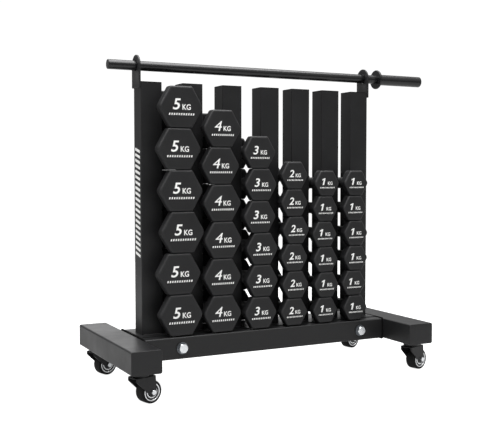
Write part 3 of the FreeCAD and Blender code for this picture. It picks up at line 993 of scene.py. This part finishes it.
@dataclass(frozen=True)
class CasterWheel:
    """Tyre, web and bright rings of one wheel, turned about its axle. Sizes in millimetres."""

    corner: str
    tread: float = 25.0
    seat: float = 19.8
    half_width: float = 13.5
    shoulder: float = 3.0
    crown: float = 0.4
    hub: float = 6.5
    hub_half: float = 14.2
    bore: float = 3.05
    web_half: float = 11.6
    ring_low: float = 11.2
    outer_ring: float = 16.8
    inner_ring: tuple[float, float] = (9.8, 13.6)
    inner_ring_drop: float = 0.3

    def tyre(self) -> Outline:
        """Section of the tyre: rounded shoulders, and a tread that falls away by crown * (h / half)^2.

        Returns:
            The section.
        """
        wide = self.half_width
        section = rounded_outline([(self.seat, -wide), (self.tread, -wide), (self.tread, wide),
                                   (self.seat, wide)],
                                  [0.4, self.shoulder, self.shoulder, 0.4], 6, 7)
        share = np.clip((section.points[:, 0] - self.seat) / (self.tread - self.seat), 0, 1)
        fall = self.crown * share * (section.points[:, 1] / wide) ** 2
        return Outline(section.points - np.stack([fall, fall * 0], axis=1), section.outward)

    def web(self) -> Outline:
        """Section of the web and its hub.

        Returns:
            The section.
        """
        hub, edge, flat = self.hub, self.seat, self.web_half
        return rounded_outline(
            [(self.bore, -self.hub_half), (hub, -self.hub_half), (hub, -flat), (edge, -flat),
             (edge, flat), (hub, flat), (hub, self.hub_half), (self.bore, self.hub_half)],
            [0.3, 0.8, 0.8, 0.3, 0.3, 0.8, 0.8, 0.3], 4, 2)

    def ring(self, inner: float, outer: float, high: float) -> Outline:
        """Section of a raised bright ring, its top nearly half round.

        Args:
            inner: inner radius in millimetres.
            outer: outer radius.
            high: how far its top is from the wheel's middle.

        Returns:
            The section.
        """
        low, radius = self.ring_low, (outer - inner) * 0.42
        return rounded_outline([(inner, low), (outer, low), (outer, high), (inner, high)],
                               [0.2, 0.2, radius, radius], 5, 1)

    def build(self) -> None:
        """Replaces the CAD tyre and rim, and dresses the fork and the axle."""
        joint = next(one for one in frame["joints"] if one["name"] == f"wheel_spin_{self.corner}")
        axis, centre, body = joint["axis"], joint["pos_m"], f"wheel_{self.corner}"
        add_piece(f"wheel_tyre_{self.corner}", body, turned(self.tyre(), axis, centre, 72),
                  TREAD_RUBBER, [f"caster_tyre_{self.corner}"])
        add_piece(f"wheel_web_{self.corner}", body, turned(self.web(), axis, centre),
                  ELECTRO_COAT)
        rings = []
        for way in (-1.0, 1.0):
            direction = np.asarray(axis) * way
            outer = self.ring(self.outer_ring, self.seat, self.half_width)
            inner = self.ring(*self.inner_ring, self.half_width - self.inner_ring_drop)
            rings += [turned(outer, direction, centre), turned(inner, direction, centre)]
        add_piece(f"wheel_rings_{self.corner}", body, joined(rings), CHROME_RING,
                  [f"caster_rim_{self.corner}"])
        dress(f"caster_fork_{self.corner}", ELECTRO_COAT)
        dress(f"caster_axle_{self.corner}", ZINC_PLATE)


# Studio -------------------------------------------------------------------------------

@dataclass(frozen=True)
class Softbox:
    """One square area light that faces a point."""

    name: str
    place: tuple[float, float, float]
    target: tuple[float, float, float]
    size: float
    watts: float

    def build(self) -> None:
        """Adds the light, its face turned to its target."""
        lamp = bpy.data.lights.new(self.name, "AREA")
        lamp.shape, lamp.size, lamp.energy = "SQUARE", self.size, self.watts
        light = bpy.data.objects.new(self.name, lamp)
        bpy.context.scene.collection.objects.link(light)
        away = np.asarray(self.place) - np.asarray(self.target)
        light.location = self.place
        light.rotation_euler = (math.acos(away[2] / np.linalg.norm(away)), 0.0,
                                math.atan2(away[1], away[0]) + math.pi / 2)


@dataclass(frozen=True)
class Studio:
    """Pale floor, soft light all round, and the camera."""

    camera_place: tuple[float, float, float] = (-1.0234, -1.8536, 0.4859)
    camera_tilt: float = 87.24
    camera_heading: float = -27.29
    lens: float = 62.66
    floor_half: float = 2.6
    floor_corner: float = 1.3
    backdrop: float = 1.05
    low_light: float = 0.16
    high_light: float = 0.9
    floor_thickness: float = 20.0
    shown_glow: float = 0.96
    cast_glow: float = 0.29

    def build(self) -> None:
        """Adds floor, lights, surroundings and camera."""
        scene = bpy.context.scene
        width = 2 * self.floor_half / MM
        outline = rectangle(width, width, self.floor_corner / MM)
        flat = slab(outline, self.floor_thickness, self.floor_thickness / 4).placed(
            FACING_UP, (0.0, 0.0, -self.floor_thickness * MM))
        mesh = bpy.data.meshes.new("floor")
        mesh.from_pydata(flat.points.tolist(), [],
                         flat.quads.tolist() + flat.triangles.tolist())
        floor = bpy.data.objects.new("floor", mesh)
        mesh.materials.append(self.paper())
        scene.collection.objects.link(floor)
        scene.world = self.surroundings()
        for light in (Softbox("overhead", (-0.2, -0.3, 2.9), (0.0, 0.0, 0.3), 3.2, 190.0),
                      Softbox("left_fill", (-2.8, -0.6, 1.3), (0.0, 0.0, 0.35), 1.8, 2.5),
                      Softbox("back_fill", (1.0, 2.8, 1.1), (0.0, 0.0, 0.35), 1.8, 11.0)):
            light.build()
        lens = bpy.data.cameras.new("camera")
        lens.sensor_fit, lens.sensor_width, lens.lens = "HORIZONTAL", 36.0, self.lens
        lens.clip_end = 100.0
        camera = bpy.data.objects.new("camera", lens)
        camera.location = self.camera_place
        camera.rotation_euler = (math.radians(self.camera_tilt), 0.0,
                                 math.radians(self.camera_heading))
        scene.collection.objects.link(camera)
        scene.camera = camera
        scene.view_settings.view_transform = "Standard"

    def surroundings(self) -> bpy.types.World:
        """White backdrop to look at, while the light it casts rises from dim low down to bright above.

        Returns:
            The world.
        """
        world = bpy.data.worlds.new("studio")
        world.use_nodes = True
        tree = world.node_tree
        tree.nodes.clear()
        way = add_node(tree, "ShaderNodeTexCoord").outputs["Generated"]
        height = add_node(tree, "ShaderNodeSeparateXYZ", {"Vector": way}).outputs["Z"]
        cast = add_node(tree, "ShaderNodeMapRange", {"Value": height},
                        {"From Min": -0.1, "From Max": 0.9, "To Min": self.low_light,
                         "To Max": self.high_light}).outputs[0]
        looked_at = add_node(tree, "ShaderNodeLightPath").outputs["Is Camera Ray"]
        strength = add_node(tree, "ShaderNodeMix", {"Factor": looked_at, "A": cast},
                            {"B": self.backdrop}, data_type="FLOAT").outputs[0]
        back = add_node(tree, "ShaderNodeBackground", {"Strength": strength},
                        {"Color": linear("#ffffff")})
        add_node(tree, "ShaderNodeOutputWorld", {"Surface": back.outputs[0]})
        return world

    def paper(self) -> bpy.types.Material:
        """White paper on a light table, which looks brighter than the light it throws on the rack.

        Returns:
            The floor's material.
        """
        made = Finish("seamless_paper", "#959595", "#929292", "#999999", 0.9, 0.02, Grain.PEEL,
                      30.0, 0.1, specular=0.1, mottle_mm=900.0).material()
        tree = made.node_tree
        shader = next(node for node in tree.nodes if node.type == "BSDF_PRINCIPLED")
        shader.inputs["Emission Color"].default_value = linear("#ffffff")
        looked_at = add_node(tree, "ShaderNodeLightPath").outputs["Is Camera Ray"]
        glow = add_node(tree, "ShaderNodeMix", {"Factor": looked_at},
                        {"A": self.cast_glow, "B": self.shown_glow}, data_type="FLOAT")
        tree.links.new(glow.outputs[0], shader.inputs["Emission Strength"])
        return made


def main() -> None:
    """Builds the rack piece by piece."""
    logging.basicConfig(level=logging.INFO, format="%(name)s: %(message)s")
    build_frame()
    SideStrokes().build()
    EndCaps().build()
    for side in ("left", "right"):
        BarBracket(side).build()
    # The 4 is printed lighter than the others, so that its counter stays open.
    for column in (Column("5kg", "5", 17.0, 0.206, -0.228),
                   Column("4kg", "4", 16.5, 0.215, number_weight=0.0),
                   Column("3kg", "3", 16.0, 0.19), Column("2kg", "2", 15.0, 0.2),
                   Column("1kg_inner", "1", 14.0, 0.15), Column("1kg_outer", "1", 14.0, 0.15)):
        column.build()
    for corner in ("front_left", "back_left", "front_right", "back_right"):
        CasterWheel(corner).build()
    Studio().build()


if __name__ == "__main__":
    main()
